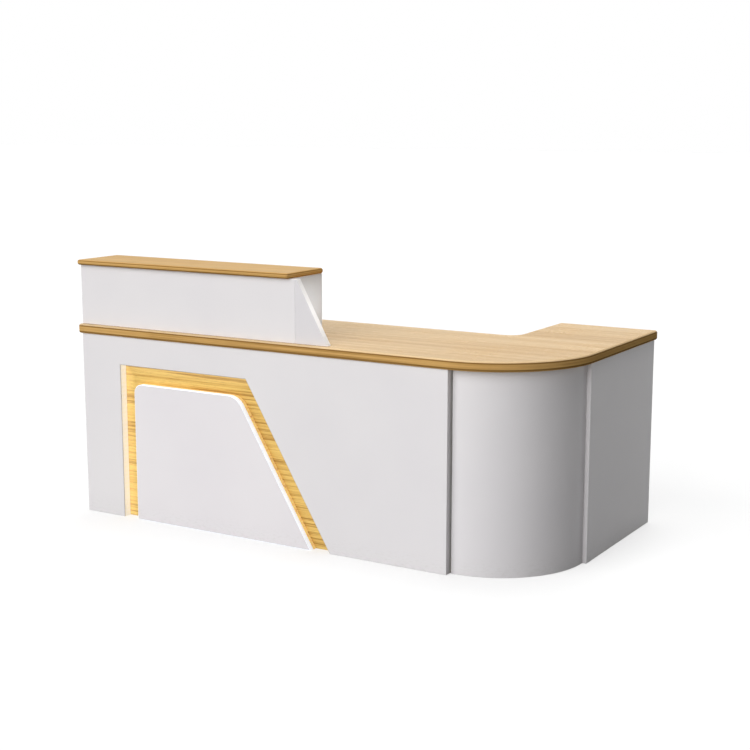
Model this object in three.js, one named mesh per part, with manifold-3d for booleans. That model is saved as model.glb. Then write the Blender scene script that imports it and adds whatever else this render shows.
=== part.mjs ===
import * as THREE from 'three';
import { mergeVertices } from 'three/addons/utils/BufferGeometryUtils.js';
import Module from 'manifold-3d';

// Reception desk: an L-shaped worktop on white board panels, with a raised counter for
// visitors at the left, a rounded front corner and a short return at the right.
// Lengths are millimetres. Pieces are placed with x to the right from the desk's left end,
// y to the back from the worktop's front edge and z up from the floor. The last lines move
// the finished desk so that its middle stands over the origin.

// Overall sizes
const LENGTH = 2000;
const DEPTH = 1000;
const HEIGHT = 1000;
const MAIN_DEPTH = 600;
const RETURN_WIDTH = 400;
const WORKTOP_HEIGHT = 750;

// Boards
const WORKTOP_THICKNESS = 36;
const RAISED_TOP_THICKNESS = 20;
const FASCIA = 25; // boards that visitors see
const SPACER = 12; // board behind the front panel, which deepens the lit recess
const BOARD = 18; // carcass boards
const SKIN = 9; // bent board of the rounded corner
const EDGE_ROUND = 9; // rounded arris of the wooden tops
const TOP_CORNER = 12; // corners of the wooden tops, seen from above
const PANEL_ROUND = 1; // rounded arris of the white light panel

// How far the worktop stands out over the panels below it
const FRONT_OVERHANG = 10;
const SIDE_OVERHANG = 10;
const LEFT_OVERHANG = 14;
const STAFF_OVERHANG = 20;
const REAR_OVERHANG = 10;

// Rounded corner
const CORNER_RADIUS = 339; // outside of the bent board
const WORKTOP_INNER_RADIUS = 50; // inside corner of the L
const FRONT_SEAM = 6; // the front panel stops this far short of the bend
const SIDE_STEP = 16; // the side panel stands out this far from the bend
const SIDE_SEAM = 3; // between the end of the bend and the side panel
const FORMER_WIDTH = 60; // curved ribs that hold the bent board
const GLUE_LINE = 0.3;

// Raised counter
const RAISED_LENGTH = 990;
const RAISED_DEPTH = 236;
const RAISED_TOP_SETBACK = 4;
const RAISED_BOARD_SETBACK = 22;
const RAISED_LEFT_OVERHANG = 6;
const RAISED_RIGHT_OVERHANG = 6;
const RAISED_REAR_OVERHANG = 4;
const RAISED_BOARD_RUN_ON = 24; // front board past the right end panel
const WING_LENGTH = 135; // sloped end of the front board, along its foot
const WING_TIP = 8; // blunt upper end of the slope

// Lit trapezoid on the front
const DECOR_LEFT = 200;
const DECOR_TOP_RIGHT = 795;
const DECOR_FOOT_RIGHT = 1157;
const DECOR_HEIGHT = 605;
const WOOD_SHEET = 3;
const WOOD_STRIP = 70; // wood left showing round the white panel
const WOOD_FIT = 0.3;
const WHITE_PANEL = 36;
const WHITE_PANEL_LEFT_RADIUS = 34;
const WHITE_PANEL_RIGHT_RADIUS = 72;
const LIGHT_STRIP = 2;
const LIGHT_STRIP_WIDTH = 30; // of the recess's depth

// Supply unit of the light strip
const DRIVER_LENGTH = 130;
const DRIVER_HEIGHT = 48;
const DRIVER_DEPTH = 26;
const DRIVER_FIN = 5;
const DRIVER_FINS = 5;
const DRIVER_EAR = 14;
const DRIVER_EAR_THICKNESS = 3;
const DRIVER_SCREW_HOLE = 5;
const DRIVER_BELOW_TOP = 150;
const DRIVER_OFFSET = 60; // from the knee partition

// Storage on the staff side
const DRAWER_BAY = 400;
const SHELF_BAY = 400;
const PLINTH_HEIGHT = 60;
const PLINTH_SETBACK = 40;
const BAY_SHELF_HEIGHT = 385;
const BAY_SHELF_SETBACK = 20;
const CUPBOARD_SHELF_HEIGHT = 385;
const CUPBOARD_SHELF_SETBACK = 20;
const FRONT_GAP = 3; // round drawer fronts and the door

// Drawers
const UPPER_DRAWER_HEIGHT = 140;
const MIDDLE_DRAWER_HEIGHT = 180;
const TRAY_WALL = 2;
const TRAY_LENGTH = 440;
const TRAY_LIFT = 12; // tray's floor above the lower edge of its front
const TRAY_DROP = 25; // tray's rim below the upper edge of its front
const RAIL_LENGTH = 450;
const RAIL_DEPTH = 12;
const RAIL_HEIGHT = 20;
const RAIL_WALL = 1.5;
const RAIL_LIFT = 15; // rail above the tray's floor
const RAIL_SETBACK = 5;
const RUN_CLEARANCE = 0.4;

// Pull handles
const HANDLE_LENGTH = 140;
const HANDLE_PROJECTION = 30;
const HANDLE_BAR = 8;
const HANDLE_WIDTH = 12;
const HANDLE_BEND = 10;
const HANDLE_DROP = 45; // below the upper edge of a drawer front
const DOOR_HANDLE_INSET = 40; // from the free edge of the door
const DOOR_HANDLE_DROP = 160; // below the upper edge of the door

// Butt hinges of the cupboard door
const HINGE_HEIGHT = 60;
const HINGE_LEAF = 1;
const HINGE_LEAF_GAP = 0.6;
const HINGE_LEAF_WIDTH = 16;
const KNUCKLE_RADIUS = 3;
const PIN_RADIUS = 1.4;
const PIN_CLEARANCE = 0.1;
const KNUCKLE_GAP = 0.3;
const HINGE_INSET = 90; // middle of a hinge from the end of the door

// Keyboard tray under the worktop
const KEYBOARD_SIDE_ROOM = 86; // beside the tray, to the knee space's walls
const KEYBOARD_DEPTH = 340;
const KEYBOARD_HEADROOM = 54;
const KEYBOARD_SETBACK = 30;
const KEYBOARD_RAIL_LENGTH = 320;
const HANGER_FLANGE = 20;

// Angle brackets under the worktop
const BRACKET_LEG = 40;
const BRACKET_WIDTH = 40;
const BRACKET_THICKNESS = 2.5;
const BRACKET_FROM_END = 90;

// Facets
const ARC_STEPS = 16;
const SMALL_ARC_STEPS = 4;
const ROUND_SIDES = 20;

// Planes that several pieces share
const underside = WORKTOP_HEIGHT - WORKTOP_THICKNESS;
const fasciaBack = FRONT_OVERHANG + FASCIA;
const spacerBack = fasciaBack + SPACER;
const carcassFront = spacerBack + BOARD;
const carcassRear = MAIN_DEPTH - STAFF_OVERHANG;
const carcassLeft = LEFT_OVERHANG + BOARD;
const sideFasciaInside = LENGTH - SIDE_OVERHANG - FASCIA;
const carcassRight = sideFasciaInside - BOARD;
const returnEdge = LENGTH - RETURN_WIDTH;
const returnFace = returnEdge + STAFF_OVERHANG;
const returnRear = DEPTH - REAR_OVERHANG;
const cornerX = LENGTH - SIDE_OVERHANG - SIDE_STEP - CORNER_RADIUS;
const cornerY = fasciaBack + CORNER_RADIUS;
const drawerBayRight = carcassLeft + DRAWER_BAY;
const shelfBayLeft = drawerBayRight + BOARD;
const shelfBayRight = shelfBayLeft + SHELF_BAY;
const kneeLeft = shelfBayRight + BOARD;
const baseTop = PLINTH_HEIGHT + BOARD;

// Finishes
const whiteLacquer = { color: 0xe6e3e3, roughness: 0.15, metalness: 0 };
const whiteMelamine = { color: 0xe2e1df, roughness: 0.45, metalness: 0 };
const strawOak = { color: 0xdcc09c, roughness: 0.4, metalness: 0 };
const goldenOak = { color: 0xe2b366, roughness: 0.45, metalness: 0 };
const plywood = { color: 0xc9ab80, roughness: 0.7, metalness: 0 };
const greySteel = { color: 0xc4c6c8, roughness: 0.45, metalness: 0.6 };
const satinSteel = { color: 0xb9bcbf, roughness: 0.3, metalness: 0.95 };
const warmLight = { color: 0xfff0c0, roughness: 0.5, metalness: 0 };
const blackHousing = { color: 0x34363a, roughness: 0.5, metalness: 0.2 };

const desk = new THREE.Group();
desk.name = 'reception_desk';

function piece(name, geometry, finish) {
  const mesh = new THREE.Mesh(geometry, new THREE.MeshStandardMaterial(finish));
  mesh.name = name;
  desk.add(mesh);
}

// Rectangular board between two corners.
function block([x0, y0, z0], [x1, y1, z1]) {
  const geometry = new THREE.BoxGeometry(x1 - x0, y1 - y0, z1 - z0);
  return geometry.translate((x0 + x1) / 2, (y0 + y1) / 2, (z0 + z1) / 2);
}

// Closed outline through corners given as [across, up, radius].
function outline(corners) {
  const shape = new THREE.Shape();
  const at = (index) => {
    const corner = corners[(index + corners.length) % corners.length];
    return new THREE.Vector2(corner[0], corner[1]);
  };
  corners.forEach(([, , radius = 0], index) => {
    const here = at(index);
    const back = at(index - 1).sub(here).normalize();
    const ahead = at(index + 1).sub(here).normalize();
    const half = Math.acos(back.dot(ahead)) / 2;
    const start = here.clone().addScaledVector(back, radius / Math.tan(half));
    const end = here.clone().addScaledVector(ahead, radius / Math.tan(half));
    if (index === 0) shape.moveTo(start.x, start.y);
    else shape.lineTo(start.x, start.y);
    if (radius === 0) return;
    const towards = back.clone().add(ahead).normalize();
    const centre = here.clone().addScaledVector(towards, radius / Math.sin(half));
    const from = start.sub(centre).angle();
    const to = end.sub(centre).angle();
    shape.absarc(centre.x, centre.y, radius, from, to, back.cross(ahead) > 0);
  });
  return shape;
}

// Plate of an outline, with its edges rounded where a round is given.
function plate(shape, thickness, steps = SMALL_ARC_STEPS, round = 0) {
  return new THREE.ExtrudeGeometry(shape, {
    depth: thickness - 2 * round,
    curveSegments: steps,
    bevelEnabled: round > 0,
    bevelThickness: round,
    bevelSize: round,
    bevelOffset: -round,
    bevelSegments: 3,
  }).translate(0, 0, round);
}

// Lying plate: its outline is in x and y.
function lying(shape, z, thickness, steps, round) {
  return plate(shape, thickness, steps, round).translate(0, 0, z);
}

// Upright plate: its outline is in x and z, and y is its front.
function upright(shape, y, thickness, steps, round) {
  return plate(shape, thickness, steps, round)
    .rotateX(Math.PI / 2)
    .translate(0, y + thickness, 0);
}

// Bar whose profile is in y and z.
function barAlongX(shape, x, length) {
  const turn = new THREE.Matrix4().makeBasis(
    new THREE.Vector3(0, 1, 0),
    new THREE.Vector3(0, 0, 1),
    new THREE.Vector3(1, 0, 0),
  );
  return plate(shape, length).applyMatrix4(turn).translate(x, 0, 0);
}

function post(x, y, z, radius, height) {
  return new THREE.CylinderGeometry(radius, radius, height, ROUND_SIDES)
    .rotateX(Math.PI / 2)
    .translate(x, y, z + height / 2);
}

const wasm = await Module();
wasm.setup();

function toSolid(geometry) {
  const plain = geometry.clone();
  plain.deleteAttribute('normal');
  plain.deleteAttribute('uv');
  const merged = mergeVertices(plain);
  return new wasm.Manifold(new wasm.Mesh({
    numProp: 3,
    vertProperties: merged.attributes.position.array,
    triVerts: Uint32Array.from(merged.index.array),
  }));
}

function toGeometry(solid) {
  const mesh = solid.getMesh();
  const geometry = new THREE.BufferGeometry();
  geometry.setAttribute('position', new THREE.BufferAttribute(mesh.vertProperties, 3));
  geometry.setIndex(new THREE.BufferAttribute(mesh.triVerts, 1));
  geometry.computeVertexNormals();
  return geometry;
}

function join(...geometries) {
  return toGeometry(geometries.map(toSolid).reduce((sum, next) => sum.add(next)));
}

function cut(geometry, ...tools) {
  return toGeometry(tools.map(toSolid).reduce((rest, tool) => rest.subtract(tool), toSolid(geometry)));
}

// L-shaped worktop with the rounded visitor corner.
function addWorktop() {
  const radius = CORNER_RADIUS + FASCIA + FRONT_OVERHANG;
  const shape = outline([
    [0, 0, TOP_CORNER],
    [LENGTH, 0, radius],
    [LENGTH, DEPTH, TOP_CORNER],
    [returnEdge, DEPTH, TOP_CORNER],
    [returnEdge, MAIN_DEPTH, WORKTOP_INNER_RADIUS],
    [0, MAIN_DEPTH, TOP_CORNER],
  ]);
  const top = lying(shape, underside, WORKTOP_THICKNESS, ARC_STEPS, EDGE_ROUND);
  piece('worktop', top, strawOak);

  const legFace = outline([
    [kneeLeft, underside],
    [kneeLeft, underside - BRACKET_LEG],
    [kneeLeft + BRACKET_THICKNESS, underside - BRACKET_LEG],
    [kneeLeft + BRACKET_THICKNESS, underside - BRACKET_THICKNESS],
    [kneeLeft + BRACKET_LEG, underside - BRACKET_THICKNESS],
    [kneeLeft + BRACKET_LEG, underside],
  ]);
  const places = [carcassFront + BRACKET_FROM_END, carcassRear - BRACKET_FROM_END - BRACKET_WIDTH];
  places.forEach((y, index) => {
    piece(`worktop_bracket_${index + 1}`, upright(legFace, y, BRACKET_WIDTH), satinSteel);
  });
}

// Corners of the lit trapezoid, drawn in by the same amount on its three upper sides.
function decorCorners(inset) {
  const run = DECOR_FOOT_RIGHT - DECOR_TOP_RIGHT;
  const shift = inset * Math.hypot(run, DECOR_HEIGHT) / DECOR_HEIGHT;
  const left = DECOR_LEFT + inset;
  const top = DECOR_HEIGHT - inset;
  const topRight = DECOR_TOP_RIGHT + run * inset / DECOR_HEIGHT - shift;
  return { left, top, topRight, footRight: DECOR_FOOT_RIGHT - shift };
}

function decorShape(inset, leftRadius = 0, rightRadius = 0) {
  const { left, top, topRight, footRight } = decorCorners(inset);
  return outline([
    [left, 0],
    [footRight, 0],
    [topRight, top, rightRadius],
    [left, top, leftRadius],
  ]);
}

// Visitors' front: a panel and a spacer cut out round the lit trapezoid, on a backing board.
function addFront() {
  const right = cornerX - FRONT_SEAM;
  const opening = decorCorners(0);
  const cutOut = (start) => outline([
    [start, 0],
    [opening.left, 0],
    [opening.left, opening.top],
    [opening.topRight, opening.top],
    [opening.footRight, 0],
    [right, 0],
    [right, underside],
    [start, underside],
  ]);
  const backing = block([carcassLeft, spacerBack, 0], [cornerX, carcassFront, underside]);
  piece('front_panel', upright(cutOut(LEFT_OVERHANG), FRONT_OVERHANG, FASCIA), whiteLacquer);
  piece('front_spacer', upright(cutOut(carcassLeft), fasciaBack, SPACER), whiteMelamine);
  piece('front_backing_board', backing, whiteMelamine);
}

// Wood sheet at the bottom of the recess, a white panel on it, and a strip of light along
// the recess's edge that shines in over the wood.
function addDecor() {
  const woodFront = spacerBack - WOOD_SHEET;
  const edge = decorCorners(0);
  const glow = decorCorners(LIGHT_STRIP);
  const stripShape = outline([
    [edge.left, 0],
    [glow.left, 0],
    [glow.left, glow.top],
    [glow.topRight, glow.top],
    [glow.footRight, 0],
    [edge.footRight, 0],
    [edge.topRight, edge.top],
    [edge.left, edge.top],
  ]);
  const stripFront = (FRONT_OVERHANG + woodFront - LIGHT_STRIP_WIDTH) / 2;
  const white = upright(
    decorShape(WOOD_STRIP, WHITE_PANEL_LEFT_RADIUS, WHITE_PANEL_RIGHT_RADIUS),
    woodFront - WHITE_PANEL,
    WHITE_PANEL,
    SMALL_ARC_STEPS,
    PANEL_ROUND,
  );
  piece('decor_wood_panel', upright(decorShape(WOOD_FIT), woodFront, WOOD_SHEET), goldenOak);
  piece('decor_white_panel', white, whiteLacquer);
  piece('led_light_strip', upright(stripShape, stripFront, LIGHT_STRIP_WIDTH), warmLight);
}

// Finned supply unit of the light, screwed by its ears to the back of the front.
function addDriver() {
  const left = kneeLeft + DRIVER_OFFSET;
  const low = underside - DRIVER_BELOW_TOP - DRIVER_HEIGHT;
  const pitch = DRIVER_HEIGHT / (2 * DRIVER_FINS - 1);
  const crest = carcassFront + DRIVER_DEPTH;
  const corners = [[carcassFront, low + DRIVER_HEIGHT], [carcassFront, low]];
  for (let fin = 0; fin < DRIVER_FINS; fin += 1) {
    const foot = low + 2 * fin * pitch;
    if (fin > 0) corners.push([crest - DRIVER_FIN, foot]);
    corners.push([crest, foot], [crest, foot + pitch]);
    if (fin < DRIVER_FINS - 1) corners.push([crest - DRIVER_FIN, foot + pitch]);
  }
  const body = barAlongX(outline(corners), left, DRIVER_LENGTH);
  const ears = block(
    [left - DRIVER_EAR, carcassFront, low + pitch],
    [left + DRIVER_LENGTH + DRIVER_EAR, carcassFront + DRIVER_EAR_THICKNESS, low + DRIVER_HEIGHT - pitch],
  );
  const holes = [left - DRIVER_EAR / 2, left + DRIVER_LENGTH + DRIVER_EAR / 2].map((x) => (
    new THREE.CylinderGeometry(DRIVER_SCREW_HOLE / 2, DRIVER_SCREW_HOLE / 2, DRIVER_DEPTH, ROUND_SIDES)
      .translate(x, carcassFront, low + DRIVER_HEIGHT / 2)
  ));
  piece('led_driver', cut(join(body, ears), ...holes), blackHousing);
}

// Quarter ring between two radii about the centre of the bend.
function quarterRing(outer, inner) {
  const shape = new THREE.Shape();
  shape.absarc(cornerX, cornerY, outer, -Math.PI / 2, 0, false);
  shape.absarc(cornerX, cornerY, inner, 0, -Math.PI / 2, true);
  return shape;
}

// Bent board of the rounded corner, glued round three curved ribs.
function addCorner() {
  const inside = CORNER_RADIUS - SKIN;
  const bent = lying(quarterRing(CORNER_RADIUS, inside), 0, underside, ARC_STEPS);
  piece('curved_corner_panel', bent, whiteLacquer);
  const rib = quarterRing(inside - GLUE_LINE, inside - FORMER_WIDTH);
  const levels = { bottom: 0, middle: (underside - BOARD) / 2, top: underside - BOARD };
  Object.entries(levels).forEach(([level, z]) => {
    piece(`corner_former_${level}`, lying(rib, z, BOARD, ARC_STEPS), plywood);
  });
}

// Upright boards that carry the worktop.
function addPanels() {
  const sideFront = cornerY + SIDE_SEAM;
  const endFront = returnRear - BOARD;
  const sideFace = sideFasciaInside + FASCIA;
  const partitionRear = MAIN_DEPTH + BOARD;
  const standing = (name, finish, low, high) => {
    piece(name, block([...low, 0], [...high, underside]), finish);
  };
  standing('left_end_panel', whiteLacquer, [LEFT_OVERHANG, fasciaBack], [carcassLeft, carcassRear]);
  standing('side_panel', whiteLacquer, [sideFasciaInside, sideFront], [sideFace, returnRear]);
  standing('side_backing_board', whiteMelamine, [carcassRight, cornerY], [sideFasciaInside, endFront]);
  standing('return_end_panel', whiteLacquer, [returnFace, endFront], [sideFasciaInside, returnRear]);
  standing('knee_partition', whiteMelamine, [shelfBayRight, carcassFront], [kneeLeft, carcassRear]);
  standing('cupboard_partition', whiteMelamine, [returnFace, MAIN_DEPTH], [carcassRight, partitionRear]);
}

// Box on the worktop, open to the staff, under the raised wooden top.
function addRaisedCounter() {
  const topFoot = HEIGHT - RAISED_TOP_THICKNESS;
  const rear = RAISED_TOP_SETBACK + RAISED_DEPTH;
  const boardBack = RAISED_BOARD_SETBACK + FASCIA;
  const endRear = rear - RAISED_REAR_OVERHANG;
  const rightFace = RAISED_LENGTH - RAISED_RIGHT_OVERHANG;
  const seam = rightFace + RAISED_BOARD_RUN_ON;
  const topShape = outline([
    [0, RAISED_TOP_SETBACK, TOP_CORNER],
    [RAISED_LENGTH, RAISED_TOP_SETBACK, TOP_CORNER],
    [RAISED_LENGTH, rear, TOP_CORNER],
    [0, rear, TOP_CORNER],
  ]);
  const wingShape = outline([
    [seam, WORKTOP_HEIGHT],
    [seam + WING_LENGTH, WORKTOP_HEIGHT],
    [seam + WING_TIP, topFoot],
    [seam, topFoot],
  ]);
  const board = block(
    [RAISED_LEFT_OVERHANG, RAISED_BOARD_SETBACK, WORKTOP_HEIGHT],
    [seam, boardBack, topFoot],
  );
  const raisedTop = lying(topShape, topFoot, RAISED_TOP_THICKNESS, SMALL_ARC_STEPS, EDGE_ROUND);
  piece('raised_top', raisedTop, strawOak);
  piece('raised_front_board', board, whiteLacquer);
  piece('raised_wing', upright(wingShape, RAISED_BOARD_SETBACK, FASCIA), whiteLacquer);
  const middle = (RAISED_LEFT_OVERHANG + rightFace - BOARD) / 2;
  const walls = { left_end: RAISED_LEFT_OVERHANG, divider: middle, right_end: rightFace - BOARD };
  Object.entries(walls).forEach(([wall, x]) => {
    const standing = block([x, boardBack, WORKTOP_HEIGHT], [x + BOARD, endRear, topFoot]);
    piece(`raised_${wall}`, standing, whiteLacquer);
  });
}

// Drawer pedestal and open shelves under the main worktop.
function addPedestal() {
  const plinthBack = carcassRear - PLINTH_SETBACK;
  const base = block([carcassLeft, carcassFront, PLINTH_HEIGHT], [shelfBayRight, carcassRear, baseTop]);
  const plinth = block([carcassLeft, plinthBack - BOARD, 0], [shelfBayRight, plinthBack, PLINTH_HEIGHT]);
  const partition = block([drawerBayRight, carcassFront, baseTop], [shelfBayLeft, carcassRear, underside]);
  const shelf = block(
    [shelfBayLeft, carcassFront, BAY_SHELF_HEIGHT],
    [shelfBayRight, carcassRear - BAY_SHELF_SETBACK, BAY_SHELF_HEIGHT + BOARD],
  );
  piece('pedestal_base', base, whiteMelamine);
  piece('pedestal_plinth', plinth, whiteMelamine);
  piece('drawer_partition', partition, whiteMelamine);
  piece('bay_shelf', shelf, whiteMelamine);
}

// Bent flat-bar pull: its length is along x, and it stands out along y from the origin.
function pullHandle() {
  const half = HANDLE_LENGTH / 2;
  const inner = half - HANDLE_BAR;
  const grip = HANDLE_PROJECTION - HANDLE_BAR;
  const shape = outline([
    [-half, 0],
    [-inner, 0],
    [-inner, grip, HANDLE_BEND - HANDLE_BAR],
    [inner, grip, HANDLE_BEND - HANDLE_BAR],
    [inner, 0],
    [half, 0],
    [half, HANDLE_PROJECTION, HANDLE_BEND],
    [-half, HANDLE_PROJECTION, HANDLE_BEND],
  ]);
  return plate(shape, HANDLE_WIDTH).translate(0, 0, -HANDLE_WIDTH / 2);
}

// Channel section, open towards positive x, with its lower back corner at the given place.
// A way of -1 turns it to open towards negative x.
function channelCorners(x, z, way) {
  const reach = x + way * RAIL_DEPTH;
  const web = x + way * RAIL_WALL;
  return [
    [x, z],
    [reach, z],
    [reach, z + RAIL_WALL],
    [web, z + RAIL_WALL],
    [web, z + RAIL_HEIGHT - RAIL_WALL],
    [reach, z + RAIL_HEIGHT - RAIL_WALL],
    [reach, z + RAIL_HEIGHT],
    [x, z + RAIL_HEIGHT],
  ];
}

// Folded steel tray with a runner along each side that slides in a fixed channel.
function addDrawer(name, low, high) {
  const frontBack = carcassRear - BOARD;
  const trayFront = frontBack - TRAY_LENGTH;
  const floor = low + TRAY_LIFT;
  const railFoot = floor + RAIL_LIFT;
  const sideRoom = RAIL_DEPTH + RUN_CLEARANCE;
  const trayLeft = carcassLeft + sideRoom;
  const trayRight = drawerBayRight - sideRoom;
  const reach = RAIL_DEPTH - RAIL_WALL;
  const rim = high - TRAY_DROP;
  const runnerFoot = railFoot + RAIL_WALL + RUN_CLEARANCE;
  const runnerHead = railFoot + RAIL_HEIGHT - RAIL_WALL - RUN_CLEARANCE;
  const tray = join(
    block([trayLeft, trayFront, floor], [trayRight, frontBack, rim]),
    block([trayLeft - reach, trayFront, runnerFoot], [trayRight + reach, frontBack, runnerHead]),
  );
  const hollow = block(
    [trayLeft + TRAY_WALL, trayFront + TRAY_WALL, floor + TRAY_WALL],
    [trayRight - TRAY_WALL, frontBack - TRAY_WALL, high],
  );
  const front = block(
    [carcassLeft + FRONT_GAP, frontBack, low],
    [drawerBayRight - FRONT_GAP, carcassRear, high],
  );
  const middle = (carcassLeft + drawerBayRight) / 2;
  const railStart = frontBack - RAIL_SETBACK - RAIL_LENGTH;
  const leftRail = outline(channelCorners(carcassLeft, railFoot, 1));
  const rightRail = outline(channelCorners(drawerBayRight, railFoot, -1));
  piece(`${name}_front`, front, whiteLacquer);
  piece(`${name}_tray`, cut(tray, hollow), greySteel);
  piece(`${name}_handle`, pullHandle().translate(middle, carcassRear, high - HANDLE_DROP), satinSteel);
  piece(`${name}_rail_left`, upright(leftRail, railStart, RAIL_LENGTH), satinSteel);
  piece(`${name}_rail_right`, upright(rightRail, railStart, RAIL_LENGTH), satinSteel);
}

function addDrawers() {
  const upperHigh = underside - FRONT_GAP;
  const upperLow = upperHigh - UPPER_DRAWER_HEIGHT;
  const middleHigh = upperLow - FRONT_GAP;
  const middleLow = middleHigh - MIDDLE_DRAWER_HEIGHT;
  addDrawer('drawer_upper', upperLow, upperHigh);
  addDrawer('drawer_middle', middleLow, middleHigh);
  addDrawer('drawer_lower', baseTop + FRONT_GAP, middleLow - FRONT_GAP);
}

// Cupboard in the return, with a door hung on the rear end panel.
function addCupboard() {
  const near = MAIN_DEPTH + BOARD;
  const far = returnRear - BOARD;
  const plinthFace = returnFace + PLINTH_SETBACK;
  const shelfFace = returnFace + BOARD + CUPBOARD_SHELF_SETBACK;
  const base = block([returnFace, near, PLINTH_HEIGHT], [carcassRight, far, baseTop]);
  const plinth = block([plinthFace, near, 0], [plinthFace + BOARD, far, PLINTH_HEIGHT]);
  const shelf = block(
    [shelfFace, near, CUPBOARD_SHELF_HEIGHT],
    [carcassRight, far, CUPBOARD_SHELF_HEIGHT + BOARD],
  );
  piece('cupboard_base', base, whiteMelamine);
  piece('cupboard_plinth', plinth, whiteMelamine);
  piece('cupboard_shelf', shelf, whiteMelamine);

  const hingeGap = 2 * HINGE_LEAF + HINGE_LEAF_GAP;
  const low = baseTop + FRONT_GAP;
  const high = underside - FRONT_GAP;
  const free = near + FRONT_GAP;
  const door = block([returnFace, free, low], [returnFace + BOARD, far - hingeGap, high]);
  const onDoor = new THREE.Matrix4().makeBasis(
    new THREE.Vector3(0, 0, 1),
    new THREE.Vector3(-1, 0, 0),
    new THREE.Vector3(0, -1, 0),
  );
  const handle = pullHandle()
    .applyMatrix4(onDoor)
    .translate(returnFace, free + DOOR_HANDLE_INSET, high - DOOR_HANDLE_DROP);
  piece('cupboard_door', door, whiteLacquer);
  piece('cupboard_handle', handle, satinSteel);
  addHinge('hinge_upper', far, high - HINGE_INSET - HINGE_HEIGHT / 2);
  addHinge('hinge_lower', far, low + HINGE_INSET - HINGE_HEIGHT / 2);
}

// Butt hinge in the gap beside the door: the frame leaf carries the pin and the outer
// knuckles, and the door leaf carries the middle knuckle.
function addHinge(name, wall, low) {
  const axisX = returnFace - KNUCKLE_RADIUS - KNUCKLE_GAP;
  const axisY = wall - HINGE_LEAF - HINGE_LEAF_GAP / 2;
  const high = low + HINGE_HEIGHT;
  const third = HINGE_HEIGHT / 3;
  const middleLow = low + third + KNUCKLE_GAP / 2;
  const middleHigh = high - third - KNUCKLE_GAP / 2;
  const outerHeight = third - KNUCKLE_GAP / 2;
  const leafStart = returnFace + KNUCKLE_GAP;
  const leafEnd = leafStart + HINGE_LEAF_WIDTH;
  const frameFace = wall - HINGE_LEAF;
  const doorFace = frameFace - HINGE_LEAF_GAP - HINGE_LEAF;
  const frameLeaf = join(
    block([leafStart, frameFace, low], [leafEnd, wall, high]),
    block([axisX, frameFace, low], [leafEnd, wall, low + outerHeight]),
    block([axisX, frameFace, high - outerHeight], [leafEnd, wall, high]),
    post(axisX, axisY, low, KNUCKLE_RADIUS, outerHeight),
    post(axisX, axisY, high - outerHeight, KNUCKLE_RADIUS, outerHeight),
    post(axisX, axisY, low, PIN_RADIUS, HINGE_HEIGHT),
  );
  const doorLeaf = join(
    block([leafStart, doorFace, low], [leafEnd, doorFace + HINGE_LEAF, high]),
    block([axisX, doorFace, middleLow], [leafEnd, doorFace + HINGE_LEAF, middleHigh]),
    post(axisX, axisY, middleLow, KNUCKLE_RADIUS, middleHigh - middleLow),
  );
  const bore = post(axisX, axisY, low, PIN_RADIUS + PIN_CLEARANCE, HINGE_HEIGHT);
  piece(`${name}_frame_leaf`, frameLeaf, satinSteel);
  piece(`${name}_door_leaf`, cut(doorLeaf, bore), satinSteel);
}

// Pull-out keyboard tray on two channels hung from the worktop over the knee space.
function addKeyboardTray() {
  const left = kneeLeft + KEYBOARD_SIDE_ROOM;
  const right = returnEdge - KEYBOARD_SIDE_ROOM;
  const rear = MAIN_DEPTH - KEYBOARD_SETBACK;
  const high = underside - KEYBOARD_HEADROOM;
  const low = high - BOARD;
  const trayFront = rear - KEYBOARD_DEPTH;
  const railFoot = low + (BOARD - RAIL_HEIGHT) / 2;
  const board = block([left, trayFront, low], [right, rear, high]);
  piece('keyboard_tray', board, whiteLacquer);
  const sides = { left: [left, -1], right: [right, 1] };
  Object.entries(sides).forEach(([side, [edge, way]]) => {
    const web = edge + way * (RAIL_DEPTH + RUN_CLEARANCE);
    const runnerEdge = web - way * (RAIL_WALL + RUN_CLEARANCE);
    const channel = channelCorners(web, railFoot, -way);
    channel.pop();
    const hung = outline([
      ...channel,
      [web - way * RAIL_WALL, railFoot + RAIL_HEIGHT],
      [web - way * RAIL_WALL, underside],
      [web + way * HANGER_FLANGE, underside],
      [web + way * HANGER_FLANGE, underside - RAIL_WALL],
      [web, underside - RAIL_WALL],
    ]);
    const runner = block(
      [Math.min(edge, runnerEdge), trayFront, railFoot + RAIL_WALL + RUN_CLEARANCE],
      [Math.max(edge, runnerEdge), rear, railFoot + RAIL_HEIGHT - RAIL_WALL - RUN_CLEARANCE],
    );
    const rail = upright(hung, rear - KEYBOARD_RAIL_LENGTH, KEYBOARD_RAIL_LENGTH);
    piece(`keyboard_rail_${side}`, rail, satinSteel);
    piece(`keyboard_runner_${side}`, runner, satinSteel);
  });
}

addWorktop();
addFront();
addDecor();
addDriver();
addCorner();
addPanels();
addRaisedCounter();
addPedestal();
addDrawers();
addCupboard();
addKeyboardTray();

desk.position.set(-LENGTH / 2, -DEPTH / 2, 0);

export default desk;
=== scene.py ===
import math

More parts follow.
